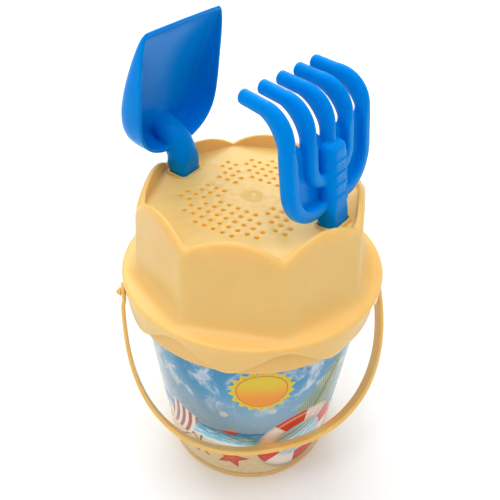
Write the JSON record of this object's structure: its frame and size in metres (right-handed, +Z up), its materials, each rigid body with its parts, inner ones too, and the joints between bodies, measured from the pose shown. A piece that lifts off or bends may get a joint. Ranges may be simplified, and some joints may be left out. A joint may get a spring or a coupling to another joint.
{
  "type": "sand bucket set",
  "caption": "Toy sand bucket with a swinging carry strap, a castle mould with a sieve top that closes it as a lid, and a shovel and rake standing in the lid's sockets.",
  "frame": {"origin": "middle of the bucket's flat underside", "axes": "+Z up the bucket, X along the strap's two pins, -Y the side the strap hangs on"},
  "size_m": [0.1908, 0.18, 0.3216],
  "materials": {
    "bucket_plastic": "smooth satin-gloss polypropylene, cream",
    "label_print": null,
    "strap_plastic": "smooth satin polypropylene, cream",
    "mould_plastic": "smooth satin-gloss polypropylene, cream",
    "tool_plastic": "glossy polypropylene, bright blue"
  },
  "bodies": {
    "bucket": {"bucket_tub": "bucket_plastic", "label_film": "label_print"},
    "strap": {"carry_strap": "strap_plastic"},
    "mould": {"castle_mould": "mould_plastic"},
    "shovel": {"shovel": "tool_plastic"},
    "rake": {"rake": "tool_plastic"}
  },
  "joints": [
    {"name": "strap_swing", "type": "hinge", "parent": "bucket", "child": "strap", "pos_m": [0, 0, 0.1515], "axis": [-1, 0, 0], "range_deg": [0, 100]},
    {"name": "mould_lift", "type": "slide", "parent": "bucket", "child": "mould", "axis": [0, 0, 1], "range_m": [0, 0.06]},
    {"name": "shovel_pull", "type": "slide", "parent": "mould", "child": "shovel", "axis": [0.0923, -0.0923, 0.9914], "range_m": [0, 0.11]},
    {"name": "rake_pull", "type": "slide", "parent": "mould", "child": "rake", "axis": [-0.0839, 0.1, 0.9914], "range_m": [0, 0.11]}
  ]
}
